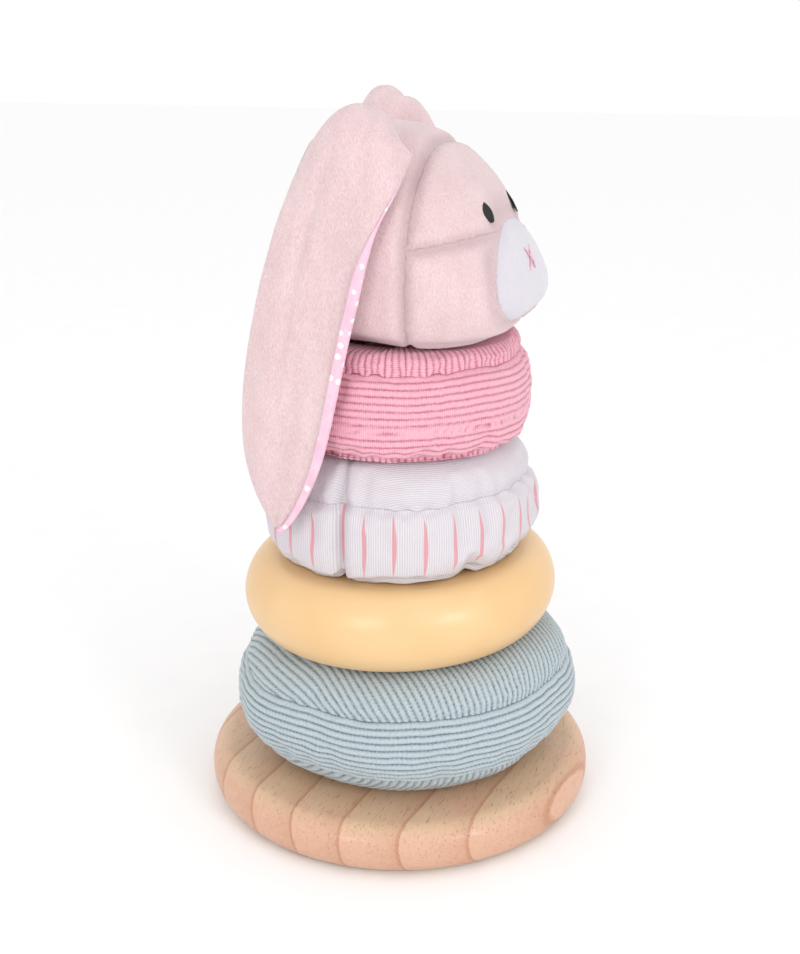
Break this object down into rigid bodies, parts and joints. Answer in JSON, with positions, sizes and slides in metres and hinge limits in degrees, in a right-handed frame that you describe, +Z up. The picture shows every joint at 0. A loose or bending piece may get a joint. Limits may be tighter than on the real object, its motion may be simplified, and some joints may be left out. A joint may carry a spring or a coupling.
{
  "type": "stacking ring toy",
  "caption": "Stacking toy: round wooden base with a post, soft stuffed rings and a wooden ring, topped by a plush bunny head with long hanging ears.",
  "frame": {"origin": "centre of the wooden base's flat underside, on the post's axis", "axes": "+Z up along the post, -Y the way the bunny faces, +X to the bunny's left"},
  "size_m": [0.12, 0.12, 0.2125],
  "materials": {
    "pine": "clear satin lacquer over pale straight-grained wood",
    "screw_steel": "zinc-plated",
    "blue_knit": "light blue-grey rib knit",
    "yellow_paint": "satin pastel yellow paint",
    "white_print": "white fine rib fabric, pink leaf strokes round the side",
    "pink_knit": "rose waffle rib knit",
    "plush": "blush short-pile plush",
    "white_velour": "smooth white velour",
    "ear_lining": "pink cotton with white dots",
    "socket_cotton": "plain cotton",
    "stuffing": "polyester fibre filling",
    "eye_thread": "black satin stitch",
    "nose_thread": "pink stitch"
  },
  "bodies": {
    "base": {"base_disc": "pine", "post": "pine", "post_screw": "screw_steel"},
    "blue_ring": {"blue_ring_band": "blue_knit", "blue_ring_top_panel": "blue_knit", "blue_ring_bottom_panel": "blue_knit", "blue_ring_sleeve": "blue_knit", "blue_ring_stuffing": "stuffing"},
    "yellow_ring": {"yellow_ring": "yellow_paint"},
    "white_ring": {"white_ring_band": "white_print", "white_ring_top_panel": "white_print", "white_ring_bottom_panel": "white_print", "white_ring_sleeve": "white_print", "white_ring_stuffing": "stuffing"},
    "pink_ring": {"pink_ring_band": "pink_knit", "pink_ring_top_panel": "pink_knit", "pink_ring_bottom_panel": "pink_knit", "pink_ring_sleeve": "pink_knit", "pink_ring_stuffing": "stuffing"},
    "head": {"head_back": "plush", "head_forehead": "plush", "head_cheek_left": "plush", "head_cheek_right": "plush", "head_muzzle": "white_velour", "head_underside": "plush", "head_socket": "socket_cotton", "head_stuffing": "stuffing", "left_eye": "eye_thread", "right_eye": "eye_thread", "nose_stitch": "nose_thread", "left_ear_root": "plush", "right_ear_root": "plush"},
    "left_ear": {"left_ear_outer": "plush", "left_ear_lining": "ear_lining"},
    "right_ear": {"right_ear_outer": "plush", "right_ear_lining": "ear_lining"}
  },
  "joints": [
    {"name": "blue_ring_lift", "type": "slide", "parent": "base", "child": "blue_ring", "axis": [0, 0, 1], "range_m": [0, 0.171]},
    {"name": "yellow_ring_lift", "type": "slide", "parent": "blue_ring", "child": "yellow_ring", "axis": [0, 0, 1], "range_m": [0, 0.132]},
    {"name": "white_ring_lift", "type": "slide", "parent": "yellow_ring", "child": "white_ring", "axis": [0, 0, 1], "range_m": [0, 0.108]},
    {"name": "pink_ring_lift", "type": "slide", "parent": "white_ring", "child": "pink_ring", "axis": [0, 0, 1], "range_m": [0, 0.071]},
    {"name": "head_lift", "type": "slide", "parent": "pink_ring", "child": "head", "axis": [0, 0, 1], "range_m": [0, 0.04]},
    {"name": "left_ear_swing", "type": "hinge", "parent": "head", "child": "left_ear", "pos_m": [0.0335, 0, 0.21109], "axis": [0, -1, 0], "range_deg": [0, 150]},
    {"name": "right_ear_swing", "type": "hinge", "parent": "head", "child": "right_ear", "pos_m": [-0.0335, 0, 0.21109], "axis": [0, 1, 0], "range_deg": [0, 150]}
  ]
}
